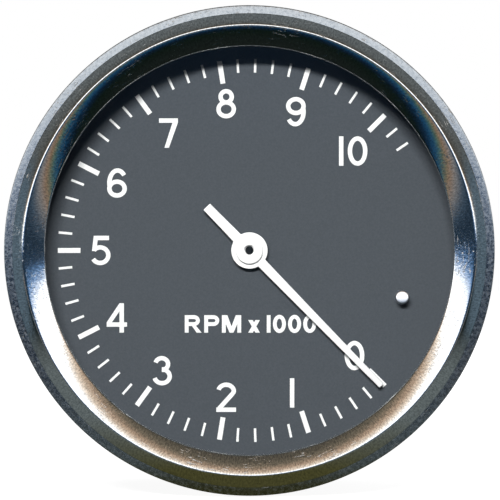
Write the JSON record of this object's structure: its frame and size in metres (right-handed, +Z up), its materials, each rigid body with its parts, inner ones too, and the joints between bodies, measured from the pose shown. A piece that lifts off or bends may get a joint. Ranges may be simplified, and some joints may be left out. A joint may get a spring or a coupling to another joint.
{
  "type": "tachometer",
  "caption": "Round panel tachometer with chromed bezel, dark grey dial, white pointer and stop pin, sealed can, U clamp strap and knurled thumb nuts.",
  "frame": {"origin": "on the instrument's axis, in the plane of the bezel's rear seat, which is the panel's front face", "axes": "+Y along the axis to the rear, so the dial faces -Y; +Z up the dial; +X to the right as the dial is read"},
  "size_m": [0.086, 0.0886, 0.086],
  "materials": {
    "chromed_bezel": "bright chrome, worn and pitted",
    "seal_rubber": "matt",
    "lens_glass": "clear polished",
    "black_plastic": "matt moulded",
    "lamp_plastic": "gloss",
    "dial_paint": "satin dark grey",
    "white_print": "matt white ink",
    "pointer_paint": "satin white",
    "polished_steel": "polished",
    "steel": "zinc plated",
    "gear_brass": "machined",
    "magnet_ceramic": "ground ferrite",
    "coil_copper": "enamelled wire",
    "motor_plastic": "moulded",
    "chip_plastic": "matt",
    "board_resin": "solder resist",
    "capacitor_sleeve": "gloss sleeve",
    "header_plastic": "moulded",
    "can_paint": "satin black",
    "selector_plastic": "moulded",
    "zinc_plate": "yellowed zinc plate",
    "nut_brass": "knurled, dull"
  },
  "bodies": {
    "instrument": {"bezel": "chromed_bezel", "glazing_seal": "seal_rubber", "lens": "lens_glass", "spacer_ring": "black_plastic", "dial_lamps": "lamp_plastic", "dial_plate": "dial_paint", "dial_print": "white_print", "stop_pin": "polished_steel", "stator": "steel", "coil_left": "coil_copper", "coil_right": "coil_copper", "motor_plate": "motor_plastic", "motor_case": "motor_plastic", "motor_screws": "steel", "motor_pins": "gear_brass", "chassis_tray": "steel", "circuit_board": "board_resin", "microcontroller": "chip_plastic", "voltage_regulator": "chip_plastic", "smoothing_capacitors": "capacitor_sleeve", "quartz_crystal": "steel", "terminal_header": "header_plastic", "board_pillars": "steel", "board_screws": "steel", "case_shell": "can_paint", "rear_gasket": "seal_rubber", "rear_cover": "can_paint", "cover_screws": "steel", "cover_print": "white_print", "selector_body": "selector_plastic", "selector_nut": "steel", "cable_grommet": "seal_rubber", "mounting_studs": "zinc_plate", "stud_nuts": "zinc_plate"},
    "pointer_movement": {"pointer": "pointer_paint", "pointer_boss": "pointer_paint", "pointer_spindle": "steel", "output_wheel": "gear_brass"},
    "intermediate_arbor": {"intermediate_wheel": "gear_brass", "intermediate_pinion": "steel"},
    "rotor": {"rotor_magnet": "magnet_ceramic", "rotor_pinion": "steel"},
    "selector": {"selector_spindle": "steel"},
    "strap": {"clamp_strap": "zinc_plate", "spring_washers": "steel"},
    "nut_left": {"thumb_nut_left": "nut_brass"},
    "nut_right": {"thumb_nut_right": "nut_brass"}
  },
  "joints": [
    {"name": "pointer_turn", "type": "hinge", "parent": "instrument", "child": "pointer_movement", "pos_m": [0, 0, 0], "axis": [0, 1, 0], "range_deg": [-24.9, 326.3]},
    {"name": "intermediate_turn", "type": "hinge", "parent": "instrument", "child": "intermediate_arbor", "pos_m": [-0.00909, 0.008, -0.00525], "axis": [0, 1, 0], "range_deg": [-1960, 160]},
    {"name": "rotor_turn", "type": "hinge", "parent": "instrument", "child": "rotor", "pos_m": [0, 0.012, -0.0105], "axis": [0, 1, 0], "range_deg": [-930, 11750]},
    {"name": "selector_turn", "type": "hinge", "parent": "instrument", "child": "selector", "pos_m": [0, 0.0504, 0.02], "axis": [0, -1, 0], "range_deg": [0, 90]},
    {"name": "strap_slide", "type": "slide", "parent": "instrument", "child": "strap", "axis": [0, -1, 0], "range_m": [0, 0.0125]},
    {"name": "nut_left_turn", "type": "hinge", "parent": "strap", "child": "nut_left", "pos_m": [-0.025, 0.0695, 0], "axis": [0, -1, 0], "range_deg": [0, 6429]},
    {"name": "nut_right_turn", "type": "hinge", "parent": "strap", "child": "nut_right", "pos_m": [0.025, 0.0695, 0], "axis": [0, -1, 0], "range_deg": [0, 6429]}
  ],
  "couplings": [
    {"joint": "intermediate_turn", "follows": "pointer_turn", "ratio": -6},
    {"joint": "rotor_turn", "follows": "pointer_turn", "ratio": 36},
    {"joint": "nut_left_turn", "follows": "strap_slide", "rad_per_m": 8976},
    {"joint": "nut_right_turn", "follows": "strap_slide", "rad_per_m": 8976}
  ]
}
